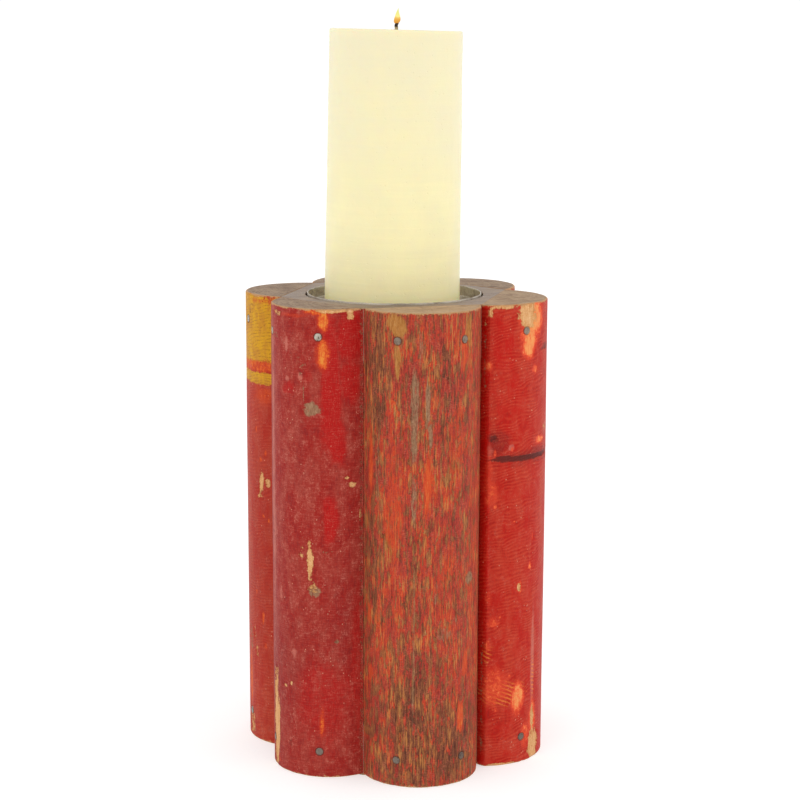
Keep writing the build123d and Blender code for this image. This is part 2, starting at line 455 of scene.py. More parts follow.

# How the old paint and the wood under it look on each stave, in 0 to 255 screen values.
#   paint, dusty, deep, bright   the top coat, where it has faded, darkened or stayed clean; in one mark bright is painted light
#   under                        the coats under it, from the edge of a worn place inwards
#   grain                        width and length of the fibres, and how strongly they show
#   ridge                        height of the raised fibres, as real shape
#   flecks                       how much of each kind of mark is everywhere on the stave
#   mottle                       how cloudy the top coat is
#   ripple                       strength of the saw's cross marks, bumped, with painted highlight on their crests and painted shade in their hollows
#   stripped                     how much of the top coat is gone, down to flakes on old browns
#   weave                        how much old cloth shows, pressed in the paint
#   striped_yellow               whether the coat in "yellow" marks is combed into stripes
#   sawn_tan                     how fresh the sawn ends are, from grey to tan
PLAIN = {"ripple": 0.0, "stripped": 0.0, "weave": 0.0, "striped_yellow": False, "sawn_tan": 0.1}
STAVE_LOOKS = {
    "front": PLAIN | {
        "paint": (170, 48, 34), "dusty": (160, 70, 54), "deep": (104, 56, 42),
        "bright": (196, 42, 38), "under": ((196, 62, 32), (208, 84, 40), (206, 126, 62)),
        "grain": (0.95, 12, 0.85), "ridge": 0.26,
        "flecks": {"wood": 0.30, "orange": 0.36, "grey": 0.30, "dark": 0.30},
        "stripped": 0.92, "mottle": 0.4, "sawn_tan": 0.62, "weave": 0.25,
    },
    "front_left": PLAIN | {
        "paint": (151, 24, 16), "dusty": (154, 50, 39), "deep": (124, 30, 30),
        "bright": (171, 14, 9), "under": ((186, 50, 26), (212, 88, 34), (220, 132, 54)),
        "grain": (1.6, 5, 0.35), "ridge": 0.07,
        "flecks": {"wood": 0.14, "orange": 0.16, "grey": 0.17, "dark": 0.1},
        "mottle": 1.0, "weave": 1.0,
    },
    "front_right": PLAIN | {
        "paint": (179, 23, 8), "dusty": (184, 50, 31), "deep": (136, 24, 17),
        "bright": (186, 13, 5), "under": ((212, 64, 38), (230, 98, 54), (232, 150, 86)),
        "grain": (1.4, 6, 0.25), "ridge": 0.06,
        "flecks": {"wood": 0.1, "orange": 0.14, "grey": 0.1, "dark": 0.1},
        "ripple": 1.0, "mottle": 0.35, "striped_yellow": True, "sawn_tan": 0.28,
    },
    "back_left": PLAIN | {
        "paint": (168, 38, 20), "dusty": (172, 60, 38), "deep": (150, 34, 24),
        "bright": (196, 50, 26), "under": ((198, 66, 22), (212, 92, 32), (214, 136, 48)),
        "grain": (1.4, 7, 0.25), "ridge": 0.06,
        "flecks": {"wood": 0.12, "orange": 0.16, "grey": 0.1, "dark": 0.1},
        "ripple": 0.7, "mottle": 0.4,
    },
    "back_right": PLAIN | {
        "paint": (166, 36, 24), "dusty": (168, 64, 48), "deep": (124, 34, 30),
        "bright": (192, 28, 20), "under": ((198, 64, 30), (218, 98, 44), (222, 150, 78)),
        "grain": (1.2, 8, 0.5), "ridge": 0.12,
        "flecks": {"wood": 0.24, "orange": 0.26, "grey": 0.22, "dark": 0.2},
        "ripple": 0.3, "stripped": 0.35, "mottle": 0.7, "weave": 0.4,
    },
    "back": PLAIN | {
        "paint": (178, 54, 40), "dusty": (168, 78, 62), "deep": (118, 50, 40),
        "bright": (198, 44, 34), "under": ((192, 62, 32), (206, 86, 40), (204, 130, 66)),
        "grain": (1.0, 10, 0.8), "ridge": 0.2,
        "flecks": {"wood": 0.28, "orange": 0.32, "grey": 0.26, "dark": 0.26},
        "stripped": 0.8, "mottle": 0.5, "weave": 0.2,
    },
}


def mark_cover(kind, name, along, height):
    """Cover of a stave's marks of one kind: its strength inside each, fading past its edge."""
    cover = np.full(along.shape, STAVE_LOOKS[name]["flecks"].get(kind, 0.0))
    seed = STAVES.index(name) * 31 + KINDS.index(kind)
    for number, (u, v, width, tall, strength) in enumerate(MARKS[name].get(kind, [])):
        shift = number * 13.7
        ragged = smooth_noise(
            along + shift, height + shift, max(width / 2.5, 1.2), max(tall / 3, 2.0), seed
        )
        away = np.hypot((along - u) / (width / 2), (height - v) / (tall / 2))
        mine = strength / 100 * np.clip(1.5 - away - 0.4 * ragged, 0, 1)
        cover = np.maximum(cover, mine)
    return cover


# ---- Staves ----

HALF_STEP = STAVE_STEP / 2
SEAM = 0.2  # how far the planes between staves are drawn in towards each stave
COLUMN = 0.55  # spacing of the points round a stave's arc
FLAT_COLUMN = 2.5  # and along its flat sides
ROW = 0.85  # and along it
END_ROWS = (0.0, 0.1, 0.25, 0.45, 0.7, 1.0, 1.4, 1.9, 2.5)  # rows near an end, from the end
CAP_RINGS = (0.985, 0.96, 0.925, 0.88, 0.82, 0.75, 0.66, 0.56, 0.44, 0.3, 0.15)
NAIL_HEAD_RADIUS = 2.0
NAIL_SEAT = 0.5  # depth of the wood round a nail's head
WORN_IN = {"wood": 0.26, "orange": 0.12, "grey": 0.16}  # how deep each kind of mark is worn in


def stave_section(radius, centre):
    """Points round a stave's section with the stave on +X: place, unit push outward, arc length
    from the crest, and how freely each may move."""
    turn = math.atan2(centre[1], centre[0])
    corner = (CORE_INRADIUS - SEAM) * math.tan(HALF_STEP)

    def point(phi):
        return centre + radius * np.array([math.cos(turn + phi), math.sin(turn + phi)])

    def reach(side):
        phi, step = 0.0, 0.002
        while True:
            x, y = point(side * (phi + step))
            if x < CORE_INRADIUS or abs(y) > (x - SEAM) * math.tan(HALF_STEP):
                return side * phi
            phi += step

    low, high = reach(-1), reach(1)
    bearings = np.linspace(low, high, round((high - low) * radius / COLUMN))
    places = [point(phi) for phi in bearings]
    pushes = [(math.cos(turn + phi), math.sin(turn + phi)) for phi in bearings]
    along = list(bearings * radius)
    edge = np.minimum(bearings - low, high - bearings) * radius
    free = list(smooth_step(edge, 0.0, 3.0))
    right, left = places[-1], places[0]
    back = [np.array([CORE_INRADIUS, corner]), np.array([CORE_INRADIUS, -corner])]
    tail = [right] + [p for p, q in zip(back, (right, left)) if np.hypot(*(p - q)) > 0.3]
    tail = tail + [left]
    for start, stop in zip(tail[:-1], tail[1:]):
        pieces = max(1, round(np.hypot(*(stop - start)) / FLAT_COLUMN))
        for k in range(1 if start is right else 0, pieces):
            places.append(start + (stop - start) * k / pieces)
            pushes.append((0.0, 0.0))
            free.append(0.0)
    flats = np.vstack([places[len(along) - 1 :], left])
    run = np.cumsum(np.hypot(*np.diff(flats, axis=0).T))
    whole = run[-1]
    along += [along[-1] + r if r < whole / 2 else along[0] - (whole - r) for r in run[:-1]]
    return np.array(places), np.array(pushes), np.array(along), np.array(free)


def stave(name):
    radius, centre = stave_arc(name)
    places, pushes, along, free = stave_section(radius, centre)
    corner_radius = CORE_INRADIUS / math.cos(HALF_STEP)
    valley = 1 - smooth_step(np.hypot(*places.T) - corner_radius, -0.6, 1.8)
    seed = 100 * (STAVES.index(name) + 1)
    look = STAVE_LOOKS[name]
    depths = np.array(END_ROWS)
    middle = np.arange(depths[-1] + ROW, TOP - depths[-1], ROW)
    heights = np.concatenate([depths, middle, TOP - depths[::-1]])
    from_end = np.minimum(heights, TOP - heights)
    u, v = np.meshgrid(along, heights)

    worn = 0.9 + 0.55 * smooth_noise(u, v, 9, 400, seed + 1)
    s = np.clip(worn - from_end[:, None], 0, None)
    inset = worn - np.sqrt(np.clip(worn**2 - s**2, 0, None))

    cover = {kind: mark_cover(kind, name, u, v) for kind in KINDS}
    width, length, _ = look["grain"]
    chip = smooth_noise(u, v, width * 1.6, length * 0.9, seed + 2, octaves=4)
    push = look["ridge"] * smooth_noise(u, v, width * 2.2, length * 4, seed + 3, octaves=4)
    push += 0.22 * smooth_noise(u, v, 26, 90, seed + 4, octaves=2)
    for kind, depth in WORN_IN.items():
        push -= depth * smooth_step(cover[kind] + 0.5 * chip, 0.5, 0.62)
    push -= 0.3 * smooth_step(cover["dark"] + 0.4 * chip, 0.56, 0.7)
    push -= 1.5 * smooth_step(cover["notch"] + 0.3 * chip, 0.3, 0.8)
    push = push * free - 0.12 * free
    # Painted shade: a dark ring round each nail head, where its seat is sunk
    nail_shade_ring = np.zeros_like(push)
    for at, height in nail_heads(name, radius, centre):
        away = np.hypot(u - at, v - height)
        inside = 1 - smooth_step(away, NAIL_HEAD_RADIUS + 0.1, NAIL_HEAD_RADIUS + 1.3)
        push = push * (1 - inside) - NAIL_SEAT * inside
        nail_shade_ring = np.maximum(nail_shade_ring, 1 - smooth_step(away, 2.2, 3.6))

    out = places[None] + pushes[None] * (push - inset)[..., None]
    side = np.concatenate([out, np.repeat(heights[:, None], len(along), 1)[..., None]], -1)
    core = np.array([CORE_INRADIUS + 12.0, 0.0])
    foot, head = [], []
    for share in CAP_RINGS:
        for rings, row, z, sign in ((foot, side[0], 0.0, 1), (head, side[-1], TOP, -1)):
            flat = core + (row[:, :2] - core) * share
            x, y = flat.T
            rough = 0.10 * smooth_noise(x, y, 1.6, 1.6, seed + 5)
            rough += 0.16 * smooth_noise(x, y, 14, 14, seed + 6)
            dip = 1.2 * smooth_step(cover["notch"][-1], 0.3, 0.9) * smooth_step(share, 0.9, 1)
            z_here = z + sign * np.clip(0.12 + rough * smooth_step(1 - share, 0, 0.06), 0, None)
            z_here = z_here - (dip if sign < 0 else 0)
            rings.append(np.concatenate([flat, z_here[:, None]], -1))
    side[-1, :, 2] -= 1.0 * smooth_step(cover["notch"][-1], 0.3, 0.9)
    rings = np.concatenate([foot[::-1], side, head])
    turned = rings[..., :2] @ rotation(stave_angle(name))
    rings = np.concatenate([turned, rings[..., 2:]], -1)

    caps = len(CAP_RINGS)
    side_end = np.interp(from_end, (0.0, 0.5, 1.2, 3.0, 6.0), (0.8, 0.62, 0.42, 0.2, 0.0))
    end = np.concatenate([np.ones(caps), side_end, np.ones(caps)])

    def padded(values):
        blank = np.zeros((caps, len(along)))
        return np.concatenate([blank, values, blank])

    levels = np.concatenate([np.zeros(caps), heights, np.full(caps, TOP)])
    place = np.stack(np.broadcast_arrays(along[None], levels[:, None], float(seed)), -1)
    fields = {kind: padded(cover[kind]) for kind in KINDS if kind != "notch"}
    fields["wood"] = padded(np.maximum(cover["wood"], 1.4 * cover["notch"]))
    fields["nail_shade_ring"] = padded(nail_shade_ring)
    fields["valley"] = padded(np.tile(valley, (len(heights), 1)))
    fields["end"] = np.repeat(end[:, None], len(along), 1)
    fields["place"] = place
    replaced = [f"stave_{name}"]
    paint = aged_paint(name)
    loft(f"wood_{name}", rings, HOLDER, paint, replaced, fields, sharp=50)


# ---- Materials ----


def end_grain(look, position, pith):
    """Weathered sawn end of a post: rings round the pith, fine grain, saw marks and dirt."""
    flat = look.scaled(position, (1, 1, 0))
    from_pith = look.node("VectorMath", {0: flat, 1: pith}, operation="SUBTRACT")
    length = look.node("VectorMath", {0: from_pith}, "Value", operation="LENGTH")
    wander = look.noise(position, (18, 18, 18), 2)
    distance = look.sum((length, 1.0), (wander, 7.0))
    ringed = look.node("CombineXYZ", {0: look.times(distance, 0.62)})
    rings = look.noise(ringed, (1, 1, 1), 2)
    fine = look.noise(position, (0.5, 0.5, 0.5), 4, 0.7)
    saw = look.noise(position, (0.8, 14, 5), 3, 0.6)
    dirt = look.noise(position, (12, 9, 9), 4, 0.6)
    tone = look.sum((rings, 0.45), (fine, 0.5), (saw, 0.35), (dirt, 0.55))
    return tone, fine


def aged_paint(name):
    values = STAVE_LOOKS[name]
    look = Look(f"aged_paint_{name}")
    place = look.attribute("place", vector=True)
    width, length, grain = values["grain"]
    stripped = values["stripped"]
    cover = {kind: look.attribute(kind) for kind in KINDS if kind != "notch"}
    end = look.attribute("end")

    def blobs(across, tall, *shape):
        """Noise over the curved face, with blobs across by tall."""
        return look.noise(place, (across, tall, 1), *shape)

    blotch = blobs(9, 26, 5, 0.6, 0.3)
    patch = blobs(5, 8, 6, 0.65, 0.4)
    streak = blobs(width * 2.2, length * 2.6, 5, 0.65)
    fibre = blobs(width * 0.6, length, 6, 0.7, 0.2)
    scale = blobs(width * 0.8, width * 2.2, 4, 0.7, 0.3)
    speck = blobs(0.7, 0.8, 4, 0.65)
    stripe = blobs(0.5, 8, 4, 0.65)
    chip = blobs(width * 1.8, length * 0.5, 6, 0.72, 0.3)
    chip = look.sum((chip, 0.75), (speck, 0.25))

    # Top coat
    mottle = blobs(1.5, 1.6, 5, 0.72)
    fade = look.step(look.sum((blotch, 0.6), (patch, 0.4)), 0.4, 0.6)
    colour = look.mix(fade, values["paint"], values["dusty"])
    dry = look.sum((chip, 0.6), (speck, 0.4))
    deep = look.sum((cover["deep"], 0.6), (patch, 0.7), (streak, 0.5))
    pale = look.sum((cover["pale"], 0.6), (dry, 0.9), (blotch, 0.3))
    colour = look.wash(colour, values["deep"], 0.9, deep, 0.62, 1.1)
    colour = look.wash(colour, (196, 114, 98), 0.7, pale, 0.76, 1.3)
    lifted = look.step(look.sum((mottle, 0.8), (patch, 0.2)), 0.51, 0.6)
    lifted = look.times(lifted, look.step(patch, 0.42, 0.62))
    colour = look.mix(look.times(lifted, 0.5 * values["mottle"]), colour, (194, 106, 90))
    sunken = look.sum((mottle, 0.6), (patch, 0.4))
    colour = look.wash(colour, values["deep"], 0.5 * values["mottle"], sunken, 0.49, 0.4)
    # Clean bright paint; one tall bright mark on front_right is painted light, where the front stave shades
    # that edge
    bright = look.sum((cover["bright"], 1.0), (dry, 1.4), (streak, 0.4))
    colour = look.mix(look.step(bright, 1.2, 1.75), colour, values["bright"])

    # Fine dust and scratches
    dust = look.sum((speck, 0.8), (patch, 0.3))
    colour = look.wash(colour, (204, 118, 98), 0.42, dust, 0.6, 0.72)
    dots = look.step(look.cells(place, (2.3, 3.1, 1)), 0.17, 0.07)
    dots = look.times(dots, look.step(blobs(7, 9, 3), 0.5, 0.62))
    colour = look.mix(look.times(dots, 0.7), colour, (226, 170, 140))
    darker = look.sum((scale, 0.5), (patch, 0.5))
    colour = look.wash(colour, values["deep"], 0.4, darker, 0.46, 0.36)

    # Lines across the stave: threads of old cloth pressed in the paint, and the saw's ripple, its crests
    # with painted highlight and its hollows with painted shade
    weave = look.sum((blobs(7, 0.5, 4, 0.65), 0.6), (blobs(0.5, 6, 4, 0.65), 0.4))
    if values["weave"]:
        colour = look.wash(colour, (194, 96, 82), 0.36 * values["weave"], weave, 0.5, 0.62)
        colour = look.wash(colour, (112, 26, 22), 0.4 * values["weave"], weave, 0.47, 0.36)
    across = look.sum((look.axis(place, 1), 3.2), (look.axis(place, 0), -0.55))
    wave = look.math("SINE", look.sum((across, 1.0), (patch, 5.0), (blobs(22, 16, 2), 34.0)))
    broken = look.step(blobs(7, 9, 4), 0.36, 0.58)
    ripple = look.times(look.step(look.sum((wave, 0.5), (speck, 0.9)), 0.25, 1.0), broken)
    # The saw ripple's crests get painted highlight and its hollows painted shade
    if values["ripple"]:
        ripple_hollow_shade = look.times(look.step(wave, 0.0, -0.9), broken)
        colour = look.mix(look.times(ripple, 0.22 * values["ripple"]), colour, (214, 92, 60))
        colour = look.mix(look.times(ripple_hollow_shade, 0.2 * values["ripple"]), colour, (142, 24, 14))

    # Stripped staves: flakes of red left on old brown coats, split along the grain
    if stripped:
        reds = look.layers(
            look.sum(
                (fibre, 0.8), (scale, 0.8), (blotch, 0.8), (speck, 0.4), (cover["orange"], 0.2)
            ),
            1 / 3,
            (0.0, (120, 38, 30)), (0.41, (146, 46, 38)), (0.455, (166, 58, 46)),
            (0.495, (190, 62, 36)), (0.545, (208, 80, 36)), (0.60, (216, 110, 52)),
            (0.67, (210, 142, 92)),
        )
        browns = look.layers(
            look.sum(
                (fibre, 1.4), (scale, 0.6), (blotch, 0.5), (speck, 0.3), (cover["deep"], -0.14)
            ),
            1 / 2.8,
            (0.0, (82, 44, 32)), (0.42, (110, 60, 40)), (0.46, (132, 76, 50)),
            (0.5, (150, 88, 50)), (0.54, (168, 114, 66)), (0.59, (184, 138, 92)),
            (0.65, (200, 164, 122)),
        )
        flake = blobs(width * 2, length * 0.7, 4, 0.55, 0.5)
        left = look.sum(
            (flake, 1.8), (streak, 0.7), (scale, 0.25), (patch, 0.45), (cover["orange"], 0.3),
            (cover["bright"], 0.3), (cover["pale"], 0.15), (cover["deep"], -0.22),
        )
        # A dark rim just outside the red flakes: painted shadow along the flakes' edges
        coats = look.wash(browns, (84, 40, 26), 0.6, left, 1.58, 1.655)
        coats = look.mix(look.step(left, 1.655, 1.69), coats, reds)
        colour = look.mix(stripped, colour, coats)
        scaly = look.times(
            look.step(blobs(1.6, 0.6, 4, 0.6), 0.5, 0.6), look.step(patch, 0.45, 0.6)
        )
        colour = look.mix(look.times(scaly, 0.4), colour, (200, 108, 86))
        ochre = look.step(blobs(1.0, 11, 4, 0.62), 0.52, 0.6)
        ochre = look.times(ochre, look.step(blotch, 0.44, 0.6, 0.15, 0.75))
        colour = look.mix(ochre, colour, (198, 128, 66))
        colour = look.wash(colour, (74, 36, 26), 0.42, stripe, 0.45, 0.34)
        crack = look.sum((blobs(0.5, 40, 4, 0.6), 0.8), (scale, 0.25))
        colour = look.wash(colour, (62, 34, 24), 0.7 * grain, crack, 0.46, 0.38)

    # Fibres: dark between
    colour = look.wash(colour, (78, 34, 26), 0.7 * grain, fibre, 0.46, 0.32)

    # Coats and wood laid bare
    spread = 2.0
    fray = chip
    if stripped:
        fray = look.sum((chip, 0.45), (stripe, 0.35), (fibre, 0.2))

    def worn_depth(kind):
        """How far a kind of mark is worn in; 0 at its edge."""
        return look.math("SUBTRACT", look.sum((cover[kind], 1.0), (fray, spread)), 0.5 + spread / 2)

    def laid_bare(kind, soft):
        return look.step(worn_depth(kind), 0, soft)

    yellow = look.mix(look.step(patch, 0.35, 0.65), (206, 152, 22), (188, 128, 32))
    line = look.times(look.step(wave, 0.35, 0.95), look.step(chip, 0.42, 0.6))
    yellow = look.mix(look.times(line, 0.6), yellow, (128, 74, 20))
    coat = laid_bare("yellow", 0.2)
    if values["striped_yellow"]:
        slant = look.sum((look.axis(place, 1), 2.6), (look.axis(place, 0), 1.1), (patch, 5.0))
        bars = look.step(look.sum((look.math("SINE", slant), 0.5), (speck, 1.0)), 0.4, 1.0)
        coat = look.times(look.times(look.step(worn_depth("yellow"), -0.3, 0.3), bars), 0.8)
        yellow = look.mix(patch, (226, 92, 40), (222, 150, 64))
    colour = look.mix(coat, colour, yellow)
    red_edge, middle, heart = values["under"]
    halo = look.sum((cover["orange"], 1.0), (patch, 0.7))
    colour = look.wash(colour, red_edge, 0.6 * (1 - stripped), halo, 0.6, 1.05)
    under = look.mix(look.step(worn_depth("orange"), 0.05, 0.45), red_edge, middle)
    yellower = look.sum((worn_depth("orange"), 1.5), (stripe, 1.5), (streak, 0.5))
    under = look.mix(look.step(yellower, 1.5, 2.05), under, heart)
    under = look.wash(under, red_edge, 0.6, stripe, 0.48, 0.36)
    orange = laid_bare("orange", 0.3)
    colour = look.mix(orange, colour, under)
    grey = laid_bare("grey", 0.25)
    greyed = look.ramp(
        look.sum((fibre, 0.4), (scale, 0.6)),
        (0.34, (104, 72, 52)), (0.5, (146, 110, 82)), (0.66, (172, 142, 110)),
    )
    colour = look.mix(look.times(grey, 0.9), colour, greyed)
    wood = laid_bare("wood", 0.3 if stripped else 0.14)
    if stripped:
        bare = look.ramp(
            look.sum((fibre, 0.7), (scale, 0.3)),
            (0.34, (116, 64, 34)), (0.5, (176, 116, 56)), (0.66, (192, 146, 92)),
        )
    else:
        bare = look.ramp(
            look.sum((stripe, 0.6), (speck, 0.4), (worn_depth("wood"), 0.2)),
            (0.36, (158, 92, 52)), (0.54, (206, 148, 92)), (0.74, (230, 188, 140)),
        )
    colour = look.mix(wood, colour, bare)
    dark = laid_bare("dark", 0.45)
    colour = look.mix(look.times(dark, 0.8), colour, (66, 28, 24))
    # Painted shade: a dark ring round each nail head, where its seat is sunk
    ring = look.sum((look.attribute("nail_shade_ring"), 1.0), (patch, 0.8))
    colour = look.wash(colour, (66, 40, 32), 0.6, ring, 0.9, 1.4)
    grime = look.sum((look.attribute("valley"), 0.55), (chip, 1.8))
    crumbs = look.mix(look.step(speck, 0.46, 0.6), (76, 42, 30), (156, 112, 82))
    colour = look.wash(colour, crumbs, 0.75, grime, 1.36, 1.6)

    # Edges rubbed to the wood, and the sawn ends
    rub = look.sum((end, 0.9), (chip, 1.5), (blotch, 0.6))
    rubbed = look.mix(speck, (150, 98, 62), (212, 168, 118))
    colour = look.mix(look.step(rub, 1.52, 1.66), colour, rubbed)
    pith = (*(np.array([CORE_INRADIUS - 6, 9.0]) @ rotation(stave_angle(name))), 0)
    tone, rough_grain = end_grain(look, look.position(), pith)
    sawn = look.ramp(tone, (0.66, (78, 60, 52)), (0.86, (126, 106, 94)), (1.0, (156, 136, 118)))
    tan = look.mix(tone, (96, 68, 50), (210, 174, 132))
    sawn = look.mix(values["sawn_tan"], sawn, tan)
    on_end = look.step(look.sum((end, 1.0), (speck, 0.2)), 0.9, 1.0)
    colour = look.mix(on_end, colour, sawn)

    bare_share = look.math("MAXIMUM", look.math("MAXIMUM", wood, grey), on_end)
    roughness = look.sum((speck, 0.25), (bare_share, 0.22), (streak, 0.2))
    relief = look.sum(
        (fibre, 0.4 + 1.2 * grain), (speck, 0.3), (scale, 0.3 + 0.5 * grain),
        (weave, 0.5 * values["weave"]), (ripple, 0.3 * values["ripple"]),
        (wood, -0.5), (orange, -0.3), (grey, -0.35), (dark, -0.3), (rough_grain, 0.2),
    )
    look.set(
        base_color=colour,
        roughness=look.math("ADD", roughness, 0.3),
        specular_ior_level=0.13,
        normal=look.bump(relief, 0.3),
    )
    return look.material


def sawn_wood(name, tone_factor=1.0):
    """Bare, weathered sawn board, its grain running along X."""
    look = Look(name)
    position = look.position()
    fine = look.noise(position, (9, 0.45, 0.45), 4, 0.65)
    wide = look.noise(position, (60, 5, 5), 4, 0.6, 0.4)
    speck = look.noise(position, (0.6, 0.6, 0.6), 4, 0.6)
    dirt = look.noise(position, (16, 12, 12), 4, 0.6)
    tone = look.sum((fine, 0.5), (wide, 0.4), (speck, 0.3), (dirt, 0.4))
    stops = ((0.55, (84, 64, 54)), (0.8, (138, 117, 101)), (1.0, (170, 149, 126)))
    stops = [(at, tuple(value * tone_factor for value in colour)) for at, colour in stops]
    look.set(
        base_color=look.ramp(tone, *stops),
        roughness=look.sum((speck, 0.3), (fine, 0.2), (dirt, 0.5)),
        specular_ior_level=0.3,
        normal=look.bump(look.sum((fine, 1.0), (speck, 0.5)), 0.25),
    )
    return look.material


def tinplate():
    """Dull, stained pan metal."""
    look = Look("tinplate")
    position = look.position()
    cloud = look.noise(position, (9, 9, 5), 5, 0.6, 0.5)
    speck = look.noise(position, (0.8, 0.8, 0.8), 4, 0.6)
    stain = look.step(look.sum((cloud, 0.8), (speck, 0.3)), 0.5, 0.68)
    look.set(
        base_color=look.mix(stain, (184, 174, 158), (142, 128, 112)),
        metallic=0.3,
        roughness=look.sum((cloud, 0.35), (speck, 0.2), (stain, 0.15)),
        normal=look.bump(look.sum((cloud, 0.6), (speck, 0.4)), 0.12),
    )
    return look.material


def zinc():
    """Wire nails gone dull, with dirt and rust in places, and darker near the foot."""
    look = Look("zinc")
    position = look.position()
    cloud = look.noise(position, (1.6, 1.6, 1.6), 4, 0.6)
    speck = look.noise(position, (0.4, 0.4, 0.4), 3, 0.6)
    dirt = look.step(look.sum((cloud, 0.8), (speck, 0.35)), 0.56, 0.74)
    age = look.step(look.noise(position, (30, 30, 60), 2), 0.4, 0.62)
    clean = look.mix(age, (186, 178, 164), (128, 112, 98))
    colour = look.mix(dirt, clean, (92, 72, 58))
    low = look.step(look.axis(position, 2), 60, 25, 0, 0.75)
    look.set(
        base_color=look.mix(low, colour, (78, 60, 52)),
        metallic=0.6,
        roughness=look.sum((cloud, 0.5), (dirt, 0.25)),
        normal=look.bump(look.sum((speck, 1.0), (cloud, 0.5)), 0.15),
    )
    return look.material


def cream_wax():
    """Cream wax, slightly cloudy; lighter and warmer towards the foot, painted light against the shade of
    the pan, and a little darker at the top, painted shade.
    """
    look = Look("cream_wax")
    position = look.position()
    # Colour by height: lighter at the foot is painted light against the pan's shade, darker at the top is
    # painted shade
    height = look.step(look.axis(position, 2), WAX_FOOT, WAX_TOP)
    cloud = look.noise(position, (22, 22, 30), 4, 0.55)
    bands = look.noise(position, (60, 60, 3), 3, 0.6)
    pit = look.step(look.cells(position, (3.4, 3.4, 3.4)), 0.16, 0.06)
    speck = look.noise(position, (0.7, 0.7, 0.7), 3, 0.6)
    tone = look.sum((height, 0.55), (cloud, 0.5), (bands, 0.25))
    relief = look.sum((cloud, 0.5), (bands, 0.35), (speck, 0.14), (pit, -0.3))
    look.set(
        base_color=look.ramp(
            tone, (0.22, (250, 240, 186)), (0.6, (238, 229, 184)), (1.0, (232, 224, 190))
        ),
        roughness=look.sum((cloud, 0.3), (speck, 0.2), (bands, 0.25)),
        subsurface_weight=0.5,
        subsurface_radius=(1.0, 0.7, 0.4),
        subsurface_scale=5 * MM,
        specular_ior_level=0.35,
        normal=look.bump(relief, 0.35),
    )
    return look.material


def charred_wick():
    """Cotton thread, charred towards the tip."""
    look = Look("charred_wick")
    position = look.position()
    height = look.step(look.axis(position, 2), WICK_TOP - 5.4, WICK_TOP - 3.2)
    thread = look.noise(position, (0.3, 0.3, 0.8), 4, 0.6)
    cotton = look.mix(thread, (196, 180, 140), (140, 120, 88))
    charred = look.mix(thread, (62, 46, 34), (22, 18, 16))
    burnt = look.step(look.sum((height, 1.0), (thread, 0.4)), 0.4, 0.9)
    colour = look.mix(burnt, cotton, charred)
    look.set(base_color=colour, roughness=0.9, normal=look.bump(thread, 0.3))
    return look.material


def flame_glow():
    """Orange near the wick, lemon above."""
    look = Look("flame_glow")
    position = look.position()
    height = look.step(look.axis(position, 2), FLAME_FOOT, FLAME_FOOT + FLAME_TALL)
    flicker = look.noise(position, (2, 2, 4), 2)
    glow = look.ramp(
        look.sum((height, 0.9), (flicker, 0.2)),
        (0.1, (222, 150, 60)), (0.32, (246, 190, 92)),
        (0.52, (255, 244, 150)), (0.95, (240, 238, 140)),
    )
    look.set(base_color=srgb(20, 12, 4), roughness=1.0, specular_ior_level=0.0)
    look.set(emission_color=glow, emission_strength=1.0)
    return look.material


# ---- Blocks, pan, candle ----


def hexagon_radius(bearing):
    """Distance from the axis to the hexagon in a direction."""
    off = (bearing - FRONT_ANGLE + HALF_STEP) % STAVE_STEP - HALF_STEP
    return CORE_INRADIUS / np.cos(off)


def ring_at(bearings, radius, height):
    """A ring of points; radius and height may differ round it."""
    radius = np.broadcast_to(radius, bearings.shape)
    height = np.broadcast_to(height, bearings.shape)
    return np.stack([radius * np.cos(bearings), radius * np.sin(bearings), height], -1)


def roughened(rings, amount, seed):
    """Rings with every point moved up or down by the sawn surface's roughness."""
    rings = np.array(rings)
    x, y = rings[..., 0], rings[..., 1]
    rings[..., 2] += amount * smooth_noise(x, y, 9.0, 1.3, seed)
    rings[..., 2] += 0.6 * amount * smooth_noise(x, y, 30, 30, seed + 1)
    return rings


BLOCK_COLUMNS = 360
RECESS_RADIUS = PAN_RADIUS + PAN_CLEARANCE
ARRIS = 0.25  # how far the blocks' top edges are worn back
CUT_DOWN = 0.1  # how far the sawn faces lie inside the block


def block(node, material, recessed):
    low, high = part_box(node)
    foot, head = low.z / MM, high.z / MM
    bearings = np.linspace(0, 2 * math.pi, BLOCK_COLUMNS, endpoint=False)
    hexagon = hexagon_radius(bearings)
    face = head - CUT_DOWN
    profile = [(hexagon * t, foot + 0.12) for t in np.linspace(0.06, 0.99, 18)]
    profile += [(hexagon - ARRIS, foot + CUT_DOWN), (hexagon, foot + 0.5)]
    profile += [(hexagon, z) for z in np.linspace(foot + 3, head - 3, 6)]
    profile += [(hexagon, head - 0.5), (hexagon - ARRIS, face)]
    seed = 53 if recessed else 51
    if recessed:
        lip = RECESS_RADIUS + 0.5 + 0.25 * smooth_noise(bearings * 8, 0 * bearings, 1, 1, 61)
        across = np.linspace(0.02, 1, 12)
        profile += [((1 - t) * (hexagon - ARRIS) + t * lip, face) for t in across]
        profile += [(lip - 0.35, head - 0.28), (RECESS_RADIUS, head - 0.8)]
        profile += [(RECESS_RADIUS, z) for z in np.linspace(head - 2, PAN_FOOT + 0.4, 4)]
        shown = len(profile) - 1
        profile += [(RECESS_RADIUS * t, PAN_FOOT - 0.06) for t in np.linspace(0.99, 0.06, 10)]
    else:
        profile += [(hexagon * t, face) for t in np.linspace(0.99, 0.06, 18)]
        shown = len(profile)
    rings = np.array([ring_at(bearings, radius, height) for radius, height in profile])
    rings[:shown] = roughened(rings[:shown], 0.1, seed)
    loft(node.replace("block", "board"), rings, HOLDER, material, [node])


PAN_SHEET = 0.6
PAN_BEND = 1.2  # inside radius between the floor and the wall
PAN_COLUMNS = 288


